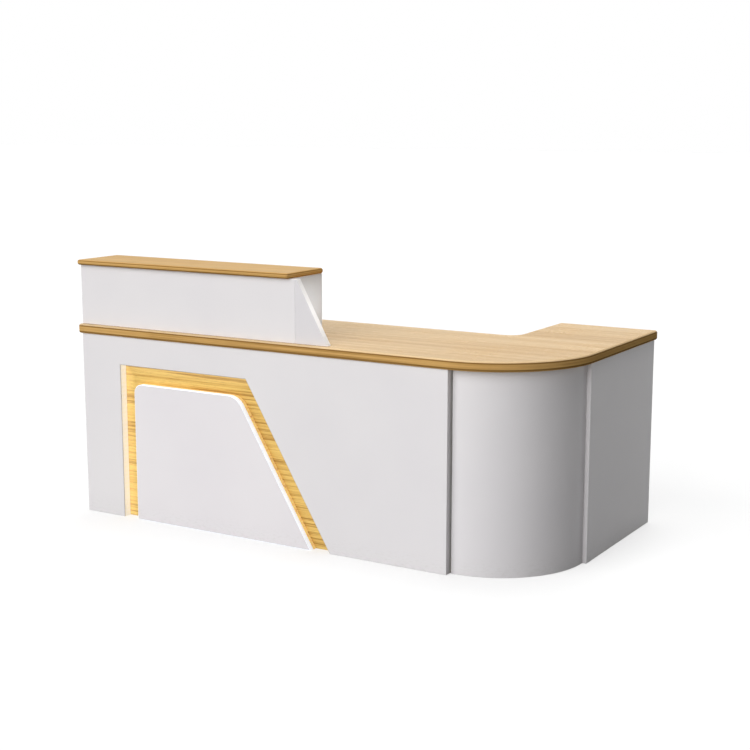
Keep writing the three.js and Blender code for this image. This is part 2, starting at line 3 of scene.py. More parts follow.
import bmesh
import bpy
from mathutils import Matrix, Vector


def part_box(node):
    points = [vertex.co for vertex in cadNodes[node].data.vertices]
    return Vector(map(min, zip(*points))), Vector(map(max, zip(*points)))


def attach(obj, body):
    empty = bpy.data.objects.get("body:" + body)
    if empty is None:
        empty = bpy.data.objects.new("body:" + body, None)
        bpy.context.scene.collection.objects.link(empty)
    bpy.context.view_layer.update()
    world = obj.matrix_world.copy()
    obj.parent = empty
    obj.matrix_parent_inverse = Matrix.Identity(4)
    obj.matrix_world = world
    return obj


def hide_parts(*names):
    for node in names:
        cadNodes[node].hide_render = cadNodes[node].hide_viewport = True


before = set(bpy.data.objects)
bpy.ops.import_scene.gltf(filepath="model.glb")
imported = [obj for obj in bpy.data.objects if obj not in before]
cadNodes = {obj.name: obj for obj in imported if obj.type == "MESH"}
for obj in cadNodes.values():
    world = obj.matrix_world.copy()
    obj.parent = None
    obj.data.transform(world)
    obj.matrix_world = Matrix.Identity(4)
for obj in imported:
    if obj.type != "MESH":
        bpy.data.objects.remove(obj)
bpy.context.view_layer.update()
print("frame loaded:", len(cadNodes), "pieces")

white = (1.0, 1.0, 1.0, 1.0)
black = (0.0, 0.0, 0.0, 1.0)


def tint(red, green, blue):
    # screen colour 0-255 to the linear colour that shaders take
    def linear(part):
        part = part / 255
        return part / 12.92 if part <= 0.04045 else ((part + 0.055) / 1.055) ** 2.4
    return (linear(red), linear(green), linear(blue), 1.0)


def grey(level):
    return (level, level, level, 1.0)


class Link:
    # an output socket, so that shader maths reads as plain sums
    def __init__(self, finish, socket):
        self.finish = finish
        self.socket = socket

    def maths(self, operation, first, second):
        return self.finish.add("Math", {"operation": operation}, {0: first, 1: second})

    def __add__(self, other):
        return self.maths("ADD", self, other)

    def __radd__(self, other):
        return self.maths("ADD", other, self)

    def __sub__(self, other):
        return self.maths("SUBTRACT", self, other)

    def __rsub__(self, other):
        return self.maths("SUBTRACT", other, self)

    def __mul__(self, other):
        return self.maths("MULTIPLY", self, other)

    def __rmul__(self, other):
        return self.maths("MULTIPLY", other, self)


class Finish:
    # one material, or the sky, and the nodes that it is made of
    def __init__(self, owner):
        self.owner = owner
        self.owner.use_nodes = True
        self.tree = self.owner.node_tree
        self.tree.nodes.clear()

    def add(self, kind, settings=None, values=None, out=0):
        node = self.tree.nodes.new("ShaderNode" + kind)
        for key, value in (settings or {}).items():
            if key == "stops":
                ramp = node.color_ramp.elements
                while len(ramp) < len(value):
                    ramp.new(0.5)
                for stop, (place, colour) in zip(ramp, value):
                    stop.position = place
                    stop.color = colour
            else:
                setattr(node, key, value)
        for key, value in (values or {}).items():
            if isinstance(value, Link):
                self.tree.links.new(value.socket, node.inputs[key])
            else:
                node.inputs[key].default_value = value
        return Link(self, node.outputs[out]) if node.outputs else None

    def place(self, kind="Object", scale=(1, 1, 1), shift=(0, 0, 0)):
        where = self.add("TexCoord", out={"UV": 2, "Object": 3}[kind])
        return self.add("Mapping", None, {"Vector": where, "Location": shift, "Scale": scale})

    def noise(self, where, scale=1.0, detail=2.0, rough=0.5, twist=0.0):
        values = {"Vector": where, "Scale": scale, "Detail": detail, "Roughness": rough}
        return self.add("TexNoise", None, {**values, "Distortion": twist})

    def span(self, value, low, high, start=0.0, end=1.0):
        return self.add("MapRange", {"clamp": True}, {0: value, 1: low, 2: high, 3: start, 4: end})

    def blend(self, first, second, factor):
        settings = {"data_type": "RGBA", "blend_type": "MIX"}
        return self.add("Mix", settings, {0: factor, 6: first, 7: second}, 2)

    def along(self, axis, where=None):
        # part of a place along one axis: 0 across, 1 back, 2 up from the floor
        return self.add("SeparateXYZ", None, {0: where or self.place()}, axis)

    def facing(self, axis):
        # how far a face looks along one axis, from -1 to 1
        return self.along(axis, self.add("NewGeometry", out=3))

    def arris(self, radius, samples=6, faceToEdge=(0.995, 0.86)):
        # 1 on the edges of a board, 0 on its faces
        eased = self.add("Bevel", {"samples": samples}, {"Radius": radius})
        flat = self.add("NewGeometry", out=3)
        same = self.add("VectorMath", {"operation": "DOT_PRODUCT"}, {0: eased, 1: flat}, 1)
        return self.span(same, *faceToEdge)

    def relief(self, level, depth, strength):
        return self.add("Bump", None, {"Strength": strength, "Distance": depth, "Height": level})

    def surface(self, values):
        shader = self.add("BsdfPrincipled", None, values)
        self.add("OutputMaterial", None, {"Surface": shader})
        return self.owner


# glossy white lacquer of the boards that visitors see; painted highlight: its arrises and what looks up,
# such as a slope, are painted whiter
lacquer = {
    "white": tint(238, 235, 236),
    "shade": tint(233, 230, 232),
    "edge": tint(251, 250, 251),
    "scuff": tint(196, 190, 184),
    "cloud": {"scale": 1.7, "detail": 3.0, "rough": 0.55},
    "cloudSpan": (0.36, 0.68),
    "edgeWidth": 0.003,
    "edgeShare": 0.9,
    "paintedTopLightSpan": (0.3, 0.5),
    "speck": {"scale": 55.0, "detail": 6.0, "rough": 0.7},
    "speckStretch": (1, 1, 2.5),
    "speckSpan": (0.5, 0.72),
    "scuffHeight": 0.075,
    "scuffShare": 0.3,
    "scuffDull": 0.25,
    "wipe": {"scale": 2.3, "detail": 5.0, "rough": 0.62, "twist": 0.6},
    "wipeStretch": (3, 3, 9),
    "wipeSpan": (0.42, 0.75),
    "roughness": (0.09, 0.19),
    "gloss": 0.27,
    "peel": {"scale": 190.0, "detail": 2.0, "rough": 0.45},
    "relief": (0.00012, 0.35),
}
# painted shade: the wing's lacquer is a greyer copy of the white lacquer
shadedWingLacquer = {**lacquer, "white": tint(229, 226, 228), "shade": tint(225, 222, 225)}
# painted shade: the raised end's lacquer is a darker, cooler copy, set against the warm bounce from the
# wood
shadedEndLacquer = {**lacquer, "white": tint(214, 217, 222), "shade": tint(209, 212, 217)}
# painted light: the light panel's lacquer is a whiter copy
litPanelLacquer = {**lacquer, "white": tint(243, 239, 241), "shade": tint(239, 235, 238)}


def makeLacquer(name, paint):
    finish = Finish(bpy.data.materials.new(name))
    where = finish.place()
    cloud = finish.noise(where, **paint["cloud"])
    body = finish.blend(paint["white"], paint["shade"], finish.span(cloud, *paint["cloudSpan"]))
    # painted highlight: the arrises are lightened towards the edge colour
    edges = finish.arris(paint["edgeWidth"])
    body = finish.blend(body, paint["edge"], edges * paint["edgeShare"])
    # painted highlight: faces that look up, such as slopes, are whitened
    body = finish.blend(body, paint["edge"], finish.span(finish.facing(2), *paint["paintedTopLightSpan"]))
    speck = finish.noise(finish.place(scale=paint["speckStretch"]), **paint["speck"])
    foot = finish.span(finish.along(2, where), paint["scuffHeight"], 0.0)
    kicked = foot * finish.span(speck, *paint["speckSpan"])
    body = finish.blend(body, paint["scuff"], kicked * paint["scuffShare"])
    wiped = finish.noise(finish.place(scale=paint["wipeStretch"]), **paint["wipe"])
    dull = finish.span(wiped, *paint["wipeSpan"], *paint["roughness"]) + kicked * paint["scuffDull"]
    peel = finish.noise(where, **paint["peel"])
    return finish.surface({
        "Base Color": body,
        "Roughness": dull,
        "Specular IOR Level": paint["gloss"],
        "Normal": finish.relief(peel, *paint["relief"]),
    })


# matt white board inside the desk, its arrises lightened with a painted highlight
melamine = {
    "white": tint(229, 228, 226),
    "shade": tint(224, 223, 220),
    "edge": tint(238, 237, 234),
    "dust": tint(198, 193, 184),
    "cloud": {"scale": 3.1, "detail": 4.0, "rough": 0.6},
    "cloudSpan": (0.35, 0.7),
    "edgeWidth": 0.0014,
    "edgeShare": 0.7,
    "speck": {"scale": 70.0, "detail": 6.0, "rough": 0.7},
    "speckSpan": (0.48, 0.7),
    "dustHeight": 0.06,
    "dustShare": 0.45,
    "dullSpan": (0.3, 0.75),
    "roughness": (0.38, 0.56),
    "pearl": {"scale": 620.0, "detail": 3.0, "rough": 0.6},
    "relief": (0.00025, 0.25),
}


def makeMelamine():
    finish = Finish(bpy.data.materials.new("white_melamine"))
    where = finish.place()
    cloud = finish.noise(where, **melamine["cloud"])
    shaded = finish.span(cloud, *melamine["cloudSpan"])
    body = finish.blend(melamine["white"], melamine["shade"], shaded)
    # painted highlight: the arrises are lightened towards the edge colour
    edges = finish.arris(melamine["edgeWidth"])
    body = finish.blend(body, melamine["edge"], edges * melamine["edgeShare"])
    speck = finish.noise(where, **melamine["speck"])
    foot = finish.span(finish.along(2, where), melamine["dustHeight"], 0.0)
    dusty = foot * finish.span(speck, *melamine["speckSpan"])
    body = finish.blend(body, melamine["dust"], dusty * melamine["dustShare"])
    pearl = finish.noise(where, **melamine["pearl"])
    return finish.surface({
        "Base Color": body,
        "Roughness": finish.span(cloud, *melamine["dullSpan"], *melamine["roughness"]),
        "Normal": finish.relief(pearl, *melamine["relief"]),
    })


# straight-grained wood: streaks run along the first axis of the place that is given
grainShape = {
    "broad": {"detail": 3.0, "rough": 0.5, "twist": 0.25},
    "broadRun": 0.5,
    "lines": {"detail": 3.0, "rough": 0.55, "twist": 0.1},
    "hairs": {"detail": 2.0, "rough": 0.6},
    "hairRun": 4.0,
    "pits": {"detail": 1.0, "rough": 0.5},
    "pitRun": 22.0,
    "pitAcross": 2.4,
    "pitSpan": (0.6, 0.72),
}


def grain(finish, kind, wood, shift=(0, 0, 0)):
    shape = grainShape
    run, fibre = wood["run"], wood["fibre"]

    def stretched(ahead, across):
        return finish.place(kind, (ahead, across, across), shift)
    broad = finish.noise(stretched(run * shape["broadRun"], wood["figure"]), **shape["broad"])
    lines = finish.noise(stretched(run, wood["streak"]), **shape["lines"])
    hairs = finish.noise(stretched(run * shape["hairRun"], fibre), **shape["hairs"])
    pits = finish.noise(stretched(run * shape["pitRun"], fibre * shape["pitAcross"]), **shape["pits"])
    broadShare, lineShare, hairShare = wood["mix"]
    tone = broad * broadShare + lines * lineShare + hairs * hairShare
    level = finish.span(tone, wood["low"], wood["high"])
    stops = [(0.0, wood["dark"]), (wood["turn"], wood["middle"]), (1.0, wood["light"])]
    colour = finish.add("ValToRGB", {"stops": stops}, {0: level})
    pores = finish.span(pits, *shape["pitSpan"])
    colour = finish.blend(colour, wood["pore"], pores * wood["poreShare"])
    return colour, level, pores


# light oak of the two tops, the raised one darker and less glossy; a painted highlight pales their
# arrises
strawOak = {
    "light": tint(223, 192, 148),
    "middle": tint(214, 180, 133),
    "dark": tint(194, 157, 108),
    "pore": tint(168, 128, 80),
    "edge": tint(244, 222, 184),
    "edgeWidth": 0.004,
    "edgeShare": 0.6,
    "poreShare": 0.12,
    "poreDull": 0.12,
    "turn": 0.45,
    "run": 0.7,
    "figure": 8.0,
    "streak": 34.0,
    "fibre": 210.0,
    "mix": (0.4, 0.42, 0.18),
    "low": 0.39,
    "high": 0.61,
    "rub": {"scale": 5.0, "detail": 4.0, "rough": 0.6},
    "rubSpan": (0.35, 0.7),
    "roughness": (0.17, 0.3),
    "gloss": 0.14,
    "relief": (0.0002, 0.2),
}
slabOak = {
    **strawOak,
    "light": tint(210, 176, 126),
    "middle": tint(200, 164, 111),
    "dark": tint(180, 142, 89),
    "roughness": (0.42, 0.55),
    "gloss": 0.1,
}


def makeStrawOak(name, wood):
    finish = Finish(bpy.data.materials.new(name))
    colour, level, pores = grain(finish, "Object", wood)
    # painted highlight: the top faces turn pale along their arrises
    edges = finish.arris(wood["edgeWidth"])
    colour = finish.blend(colour, wood["edge"], edges * wood["edgeShare"])
    rubbed = finish.noise(finish.place(), **wood["rub"])
    dull = finish.span(rubbed, *wood["rubSpan"], *wood["roughness"]) + pores * wood["poreDull"]
    return finish.surface({
        "Base Color": colour,
        "Roughness": dull,
        "Specular IOR Level": wood["gloss"],
        "Normal": finish.relief(level - pores, *wood["relief"]),
    })


# edge band of the two tops: its grain follows the edge, a dark line runs along each side of it,
# and the arris above them, where it looks up, is paler with a painted highlight
oakBand = {
    "light": tint(228, 187, 121),
    "middle": tint(213, 169, 103),
    "dark": tint(172, 130, 72),
    "pore": tint(128, 92, 48),
    "line": tint(110, 74, 30),
    "lineAt": 0.0066,
    "lineFade": (0.0036, 0.0016),
    "lineShare": 0.7,
    "arris": tint(222, 193, 150),
    "paintedHighlightTurn": (0.45, 0.55),
    "poreShare": 0.25,
    "turn": 0.45,
    "run": 0.9,
    "figure": 24.0,
    "streak": 130.0,
    "fibre": 520.0,
    "mix": (0.36, 0.42, 0.22),
    "low": 0.36,
    "high": 0.63,
    "roughness": (0.32, 0.46),
    "gloss": 0.0,
    "relief": (0.0003, 0.3),
}
slabBand = {
    **oakBand,
    "lineAt": 0.004,
    "lineFade": (0.0022, 0.001),
    "arris": tint(204, 168, 114),
    "paintedHighlightTurn": (0.83, 0.9),
}


def makeOakBand(name, band):
    finish = Finish(bpy.data.materials.new(name))
    colour, level, pores = grain(finish, "UV", band)
    side = finish.along(1, finish.place("UV"))
    away = finish.add("Math", {"operation": "ABSOLUTE"}, {0: side - band["lineAt"]})
    line = finish.span(away, *band["lineFade"]) * band["lineShare"]
    colour = finish.blend(colour, band["line"], line)
    # painted highlight: the upper round, where it looks up, turns pale
    colour = finish.blend(colour, band["arris"], finish.span(finish.facing(2), *band["paintedHighlightTurn"]))
    smooth, dull = band["roughness"]
    return finish.surface({
        "Base Color": colour,
        "Roughness": finish.span(level, 0.0, 1.0, dull, smooth),
        "Specular IOR Level": band["gloss"],
        "Normal": finish.relief(level - pores, *band["relief"]),
    })


# yellow wood round the lit panel, with painted light: it glows next to the strip's left and upper runs;
# on the panel's own edge it glows all over
goldenOak = {
    "light": tint(234, 200, 117),
    "middle": tint(220, 181, 100),
    "dark": tint(176, 132, 66),
    "pore": tint(146, 98, 44),
    "poreShare": 0.4,
    "turn": 0.4,
    "run": 1.8,
    "figure": 16.0,
    "streak": 135.0,
    "fibre": 420.0,
    "mix": (0.18, 0.54, 0.28),
    "low": 0.4,
    "high": 0.57,
    "shift": (0.37, 0.0, 0.29),
    "roughness": (0.36, 0.52),
    "gloss": 0.2,
    "relief": (0.0004, 0.35),
    "glow": (1.0, 0.85, 0.55, 1.0),
    "glowShare": 0.25,
    "reach": 0.045,
    "left": 0.55,
    "upper": 0.5,
    "elsewhere": 0.0,
    "power": 1.0,
}
litOak = {**goldenOak, "elsewhere": 0.55}


def makeGoldenOak(name, wood):
    finish = Finish(bpy.data.materials.new(name))
    colour, level, pores = grain(finish, "Object", wood, wood["shift"])
    low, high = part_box("led_light_strip")
    where = finish.place()
    reach, rest = wood["reach"], wood["elsewhere"]
    left = finish.span(finish.along(0, where), low.x + reach, low.x, rest, wood["left"])
    upper = finish.span(finish.along(2, where), high.z - reach, high.z, rest, wood["upper"])
    near = finish.add("Math", {"operation": "MAXIMUM"}, {0: left, 1: upper})
    lit = finish.blend(colour, wood["glow"], wood["glowShare"])
    smooth, dull = wood["roughness"]
    return finish.surface({
        "Base Color": colour,
        # painted light: the wood glows near the strip, and all over where it faces the panel's edge
        "Emission Color": finish.blend(black, lit, near),
        "Emission Strength": wood["power"],
        "Roughness": finish.span(level, 0.0, 1.0, dull, smooth),
        "Specular IOR Level": wood["gloss"],
        "Normal": finish.relief(level - pores, *wood["relief"]),
    })


# birch plywood of the ribs, with a glue line every two plies
plywood = {
    "light": tint(214, 184, 138),
    "middle": tint(200, 168, 122),
    "dark": tint(170, 134, 90),
    "pore": tint(142, 108, 70),
    "glue": tint(120, 88, 56),
    "plyMillimetres": 1.4,
    "glueSpan": (0.22, 0.0),
    "glueShare": 0.5,
    "poreShare": 0.25,
    "turn": 0.42,
    "run": 2.0,
    "figure": 9.0,
    "streak": 48.0,
    "fibre": 260.0,
    "mix": (0.4, 0.38, 0.22),
    "low": 0.36,
    "high": 0.64,
    "roughness": (0.6, 0.75),
    "relief": (0.0005, 0.4),
}


def makePlywood():
    finish = Finish(bpy.data.materials.new("plywood"))
    colour, level, pores = grain(finish, "Object", plywood)
    millimetres = finish.along(2) * 1000.0
    layer = finish.add("Math", {"operation": "PINGPONG"}, {0: millimetres, 1: plywood["plyMillimetres"]})
    glued = finish.span(layer, *plywood["glueSpan"]) * plywood["glueShare"]
    smooth, dull = plywood["roughness"]
    return finish.surface({
        "Base Color": finish.blend(colour, plywood["glue"], glued),
        "Roughness": finish.span(level, 0.0, 1.0, dull, smooth),
        "Normal": finish.relief(level - pores, *plywood["relief"]),
    })


# brushed steel of handles, rails, hinges and brackets
satinSteel = {
    "pale": tint(206, 208, 211),
    "deep": tint(178, 181, 185),
    "worn": tint(226, 228, 230),
    "brush": {"detail": 3.0, "rough": 0.6},
    "brushStretch": (14, 900, 900),
    "cloud": {"scale": 22.0, "detail": 4.0, "rough": 0.6},
    "toneSpan": (0.7, 1.3),
    "edgeWidth": 0.0006,
    "edgeShare": 0.6,
    "metallic": 1.0,
    "dullSpan": (0.3, 0.7),
    "roughness": (0.24, 0.42),
    "relief": (0.00006, 0.3),
}


def makeSatinSteel():
    finish = Finish(bpy.data.materials.new("satin_steel"))
    lines = finish.noise(finish.place(scale=satinSteel["brushStretch"]), **satinSteel["brush"])
    cloud = finish.noise(finish.place(), **satinSteel["cloud"])
    tone = finish.span(lines + cloud, *satinSteel["toneSpan"])
    colour = finish.blend(satinSteel["deep"], satinSteel["pale"], tone)
    edges = finish.arris(satinSteel["edgeWidth"])
    colour = finish.blend(colour, satinSteel["worn"], edges * satinSteel["edgeShare"])
    return finish.surface({
        "Base Color": colour,
        "Metallic": satinSteel["metallic"],
        "Roughness": finish.span(lines, *satinSteel["dullSpan"], *satinSteel["roughness"]),
        "Normal": finish.relief(lines, *satinSteel["relief"]),
    })


# powder-painted steel of the drawer trays
greySteel = {
    "pale": tint(203, 205, 208),
    "deep": tint(190, 192, 196),
    "worn": tint(216, 218, 220),
    "cloud": {"scale": 6.0, "detail": 4.0, "rough": 0.6},
    "cloudSpan": (0.35, 0.7),
    "edgeWidth": 0.0012,
    "edgeShare": 0.7,
    "metallic": 0.15,
    "pebble": {"scale": 1100.0, "detail": 2.0, "rough": 0.5},
    "dullSpan": (0.3, 0.7),
    "roughness": (0.36, 0.54),
    "relief": (0.0002, 0.3),
}


def makeGreySteel():
    finish = Finish(bpy.data.materials.new("grey_steel"))
    where = finish.place()
    cloud = finish.noise(where, **greySteel["cloud"])
    pebble = finish.noise(where, **greySteel["pebble"])
    shaded = finish.span(cloud, *greySteel["cloudSpan"])
    colour = finish.blend(greySteel["pale"], greySteel["deep"], shaded)
    edges = finish.arris(greySteel["edgeWidth"])
    colour = finish.blend(colour, greySteel["worn"], edges * greySteel["edgeShare"])
    return finish.surface({
        "Base Color": colour,
        "Metallic": greySteel["metallic"],
        "Roughness": finish.span(pebble, *greySteel["dullSpan"], *greySteel["roughness"]),
        "Normal": finish.relief(pebble, *greySteel["relief"]),
    })


# black anodised housing of the light's supply unit
blackHousing = {
    "black": tint(44, 46, 50),
    "drawn": tint(60, 62, 66),
    "worn": tint(92, 94, 98),
    "draw": {"detail": 2.0, "rough": 0.6},
    "drawStretch": (8, 700, 700),
    "drawSpan": (0.3, 0.7),
    "chip": {"scale": 160.0, "detail": 4.0, "rough": 0.7},
    "chipSpan": (0.4, 0.6),
    "chipShare": 0.8,
    "edgeWidth": 0.0012,
    "metallic": 0.4,
    "roughness": (0.36, 0.52),
    "relief": (0.00008, 0.3),
}


def makeBlackHousing():
    finish = Finish(bpy.data.materials.new("black_housing"))
    drawn = finish.noise(finish.place(scale=blackHousing["drawStretch"]), **blackHousing["draw"])
    lines = finish.span(drawn, *blackHousing["drawSpan"])
    colour = finish.blend(blackHousing["black"], blackHousing["drawn"], lines)
    chip = finish.noise(finish.place(), **blackHousing["chip"])
    chips = finish.arris(blackHousing["edgeWidth"]) * finish.span(chip, *blackHousing["chipSpan"])
    colour = finish.blend(colour, blackHousing["worn"], chips * blackHousing["chipShare"])
    return finish.surface({
        "Base Color": colour,
        "Metallic": blackHousing["metallic"],
        "Roughness": finish.span(drawn, *blackHousing["drawSpan"], *blackHousing["roughness"]),
        "Normal": finish.relief(drawn, *blackHousing["relief"]),
    })


# warm light strip: a row of diodes behind a milky cover, strongest up the left side,
# its front edge plain
warmLight = {
    "glow": (0.93, 0.89, 0.77, 1.0),
    "between": (0.87, 0.82, 0.7, 1.0),
    "cover": tint(206, 198, 180),
    "diodesPerMetre": 60.0,
    "dotSpan": (0.1, 0.4),
    "rightSpan": (0.0, 0.6),
    "frontSpan": (-0.7, -0.4),
    "elsewhere": 0.48,
    "power": 0.62,
    "roughness": (0.4, 0.5),
}


def makeWarmLight():
    finish = Finish(bpy.data.materials.new("warm_light"))
    where = finish.place()
    run = (finish.along(0, where) + finish.along(2, where)) * warmLight["diodesPerMetre"]
    dot = finish.add("Math", {"operation": "PINGPONG"}, {0: run, 1: 0.5})
    lit = finish.blend(warmLight["between"], warmLight["glow"], finish.span(dot, *warmLight["dotSpan"]))
    side = finish.span(finish.facing(0), *warmLight["rightSpan"], warmLight["elsewhere"], 1.0)
    share = side * finish.span(finish.facing(1), *warmLight["frontSpan"])
    return finish.surface({
        "Base Color": warmLight["cover"],
        "Roughness": finish.span(dot, 0.0, 0.5, *warmLight["roughness"]),
        "Emission Color": finish.blend(black, lit, share),
        "Emission Strength": warmLight["power"],
    })


# edge of the white panel on the wood, painted with a little light of its own as if the strip lit it
paintedGlowEdge = {
    "white": tint(250, 247, 242),
    "shade": tint(243, 239, 232),
    "glow": (0.62, 0.78, 1.0, 1.0),
    "dimGlow": (0.57, 0.71, 0.9, 1.0),
    "power": 0.72,
    "cloud": {"scale": 14.0, "detail": 3.0, "rough": 0.55},
    "cloudSpan": (0.3, 0.7),
    "roughness": (0.3, 0.42),
}


def makePaintedGlowEdge():
    finish = Finish(bpy.data.materials.new("painted_glow_edge"))
    cloud = finish.noise(finish.place(), **paintedGlowEdge["cloud"])
    soft = finish.span(cloud, *paintedGlowEdge["cloudSpan"])
    return finish.surface({
        "Base Color": finish.blend(paintedGlowEdge["white"], paintedGlowEdge["shade"], soft),
        "Roughness": finish.span(cloud, *paintedGlowEdge["cloudSpan"], *paintedGlowEdge["roughness"]),
        # painted light: the edge glows
        "Emission Color": finish.blend(paintedGlowEdge["glow"], paintedGlowEdge["dimGlow"], soft),
        "Emission Strength": paintedGlowEdge["power"],
    })


finishes = {
    "white_lacquer": makeLacquer("white_lacquer", lacquer),
    "white_melamine": makeMelamine(),
    "straw_oak": makeStrawOak("straw_oak", strawOak),
    "golden_oak": makeGoldenOak("golden_oak", goldenOak),
    "plywood": makePlywood(),
    "satin_steel": makeSatinSteel(),
    "grey_steel": makeGreySteel(),
    "black_housing": makeBlackHousing(),
    "warm_light": makeWarmLight(),
}
# pieces that differ a little from their slot's finish; the three lacquers here are painted shade or
# painted light
ownFinishes = {
    "raised_wing": makeLacquer("wing_painted_shade_lacquer", shadedWingLacquer),
    "raised_right_end": makeLacquer("end_painted_shade_lacquer", shadedEndLacquer),
    "decor_white_panel": makeLacquer("panel_painted_light_lacquer", litPanelLacquer),
    "raised_top": makeStrawOak("slab_oak", slabOak),
}
edgeFinishes = {
    "worktop": makeOakBand("oak_edge_band", oakBand),
    "raisedTop": makeOakBand("slab_edge_band", slabBand),
    "panelFront": makePaintedGlowEdge(),
    "panelRear": makeGoldenOak("lit_oak", litOak),
}
print("finishes made:", len(finishes) + len(ownFinishes) + len(edgeFinishes))


# boards, trays and fittings keep their solids: welded, then their arrises are eased
dressing = {
    "weldWithin": 0.00001,
    "flatWithin": 0.01,
    "easeOver": 0.6,
    "easeSteps": 3,
    "arris": {
        "white_lacquer": 0.0018,
        "white_melamine": 0.0006,
        "straw_oak": 0.001,
        "golden_oak": 0.0003,
        "plywood": 0.0004,
        "satin_steel": 0.0003,
        "grey_steel": 0.0006,
        "black_housing": 0.0005,
        "warm_light": 0.0004,
    },
}
for name, node in cadNodes.items():
    slot = node.material_slots[0].material.name.split(".")[0]
    node.material_slots[0].material = ownFinishes.get(name, finishes[slot])
    weld = node.modifiers.new("weld", "WELD")
    weld.merge_threshold = dressing["weldWithin"]
    flat = node.modifiers.new("flat faces", "DECIMATE")
    flat.decimate_type = "DISSOLVE"
    flat.angle_limit = dressing["flatWithin"]
    ease = node.modifiers.new("eased arris", "BEVEL")
    ease.limit_method = "ANGLE"
    ease.angle_limit = dressing["easeOver"]
    ease.width = dressing["arris"][slot]
    ease.segments = dressing["easeSteps"]
print("boards dressed")


# points of an outline through corners (across, up, radius), anticlockwise, each corner rounded
def outline(corners, step=0.09, fewest=3):
    points = []
    count = len(corners)
    for index, (x, y, radius) in enumerate(corners):
        here = Vector((x, y))
        back = (Vector(corners[index - 1][:2]) - here).normalized()
        ahead = (Vector(corners[(index + 1) % count][:2]) - here).normalized()
        half = math.acos(max(-1, min(1, back.dot(ahead)))) / 2
        if radius == 0:
            points.append(here)
            continue
        centre = here + (back + ahead).normalized() * (radius / math.sin(half))
        first = here + back * (radius / math.tan(half)) - centre
        turn = math.pi - 2 * half
        if back.x * ahead.y - back.y * ahead.x > 0:
            turn = -turn
        steps = max(fewest, math.ceil(abs(turn) / step))
        for number in range(steps + 1):
            angle = turn * number / steps
            spun = Vector((
                first.x * math.cos(angle) - first.y * math.sin(angle),
                first.x * math.sin(angle) + first.y * math.cos(angle),
            ))
            points.append(centre + spun)
    return points


# outward directions at an outline's points, longer at corners so that an inset keeps its width
def mitres(points, sharpest=0.2):
    made = []
    count = len(points)
    for index, here in enumerate(points):
        before = (here - points[index - 1]).normalized()
        after = (points[(index + 1) % count] - here).normalized()
        first = Vector((before.y, -before.x))
        second = Vector((after.y, -after.x))
        middle = (first + second).normalized()
        made.append(middle / max(sharpest, middle.dot(first)))
    return made


# edge profile of a plate as (inset, level), round at both arrises
def edgeProfile(thickness, radius, steps=4):
    quarter = [math.pi / 2 * number / steps for number in range(steps + 1)]
    low = [(radius * (1 - math.sin(a)), radius * (1 - math.cos(a))) for a in quarter]
    high = [(inset, thickness - level) for inset, level in reversed(low)]
    return low + [(0.0, thickness / 2)] + high


# plate swept round its outline; put turns (across, up, level) into a place in the frame,
# and the edge may have a finish of its own, and another on its lower half
def sweepPlate(name, points, profile, put, body, replaced, slot, bandFinish=None, rearFinish=None):
    sharpOver = 0.62  # radians between two faces
    mesh = bmesh.new()
    runLayer = mesh.loops.layers.uv.new("run")
    normals = mitres(points)
    rings = []
    for inset, level in profile:
        ring = [mesh.verts.new(put(*(p - n * inset), level)) for p, n in zip(points, normals)]
        rings.append(ring)
    count = len(points)
    runs = [0.0]
    for index in range(count):
        runs.append(runs[-1] + (points[(index + 1) % count] - points[index]).length)
    levels = [level for inset, level in profile]
    foot, head = levels[0], levels[-1]
    for low, high, start, end in zip(rings, rings[1:], levels, levels[1:]):
        for index in range(count):
            after = (index + 1) % count
            face = mesh.faces.new((low[index], low[after], high[after], high[index]))
            if rearFinish and end <= (foot + head) / 2:
                face.material_index = 2
            elif bandFinish:
                face.material_index = 1
            near, far = runs[index], runs[index + 1]
            places = ((near, start), (far, start), (far, end), (near, end))
            for loop, (run, level) in zip(face.loops, places):
                loop[runLayer].uv = (run, min(level - foot, head - level))
    for ring in (rings[0][::-1], rings[-1]):
        cap = mesh.faces.new(ring)
        for loop in cap.loops:
            loop[runLayer].uv = loop.vert.co.xy
    bmesh.ops.recalc_face_normals(mesh, faces=mesh.faces)
    for face in mesh.faces:
        face.smooth = True
    for edge in mesh.edges:
        edge.smooth = edge.calc_face_angle(0) < sharpOver
    data = bpy.data.meshes.new(name)
    mesh.to_mesh(data)
    mesh.free()
    data.materials.append(ownFinishes.get(replaced, finishes[slot]))
    for finish in (bandFinish, rearFinish):
        if finish:
            data.materials.append(finish)
    piece = bpy.data.objects.new(name, data)
    bpy.context.scene.collection.objects.link(piece)
    normal = piece.modifiers.new("shading", "WEIGHTED_NORMAL")
    normal.keep_sharp = True
    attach(piece, body)
    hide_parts(replaced)


# L-shaped worktop
worktop = {
    "returnWidth": 0.4,
    "mainDepth": 0.6,
    "corner": 0.374,
    "innerCorner": 0.05,
    "blunt": 0.012,
    "arcStep": 0.035,
    "round": 0.009,
    "roundSteps": 6,
}
low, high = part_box("worktop")
returnEdge = high.x - worktop["returnWidth"]
mainRear = low.y + worktop["mainDepth"]
sweepPlate(
    "worktop_board",
    outline([
        (low.x, low.y, worktop["blunt"]),
        (high.x, low.y, worktop["corner"]),
        (high.x, high.y, worktop["blunt"]),
        (returnEdge, high.y, worktop["blunt"]),
        (returnEdge, mainRear, worktop["innerCorner"]),
        (low.x, mainRear, worktop["blunt"]),
    ], worktop["arcStep"]),
    edgeProfile(high.z - low.z, worktop["round"], worktop["roundSteps"]),
    lambda across, up, level: (across, up, low.z + level),
    "desk", "worktop", "straw_oak", edgeFinishes["worktop"],
)

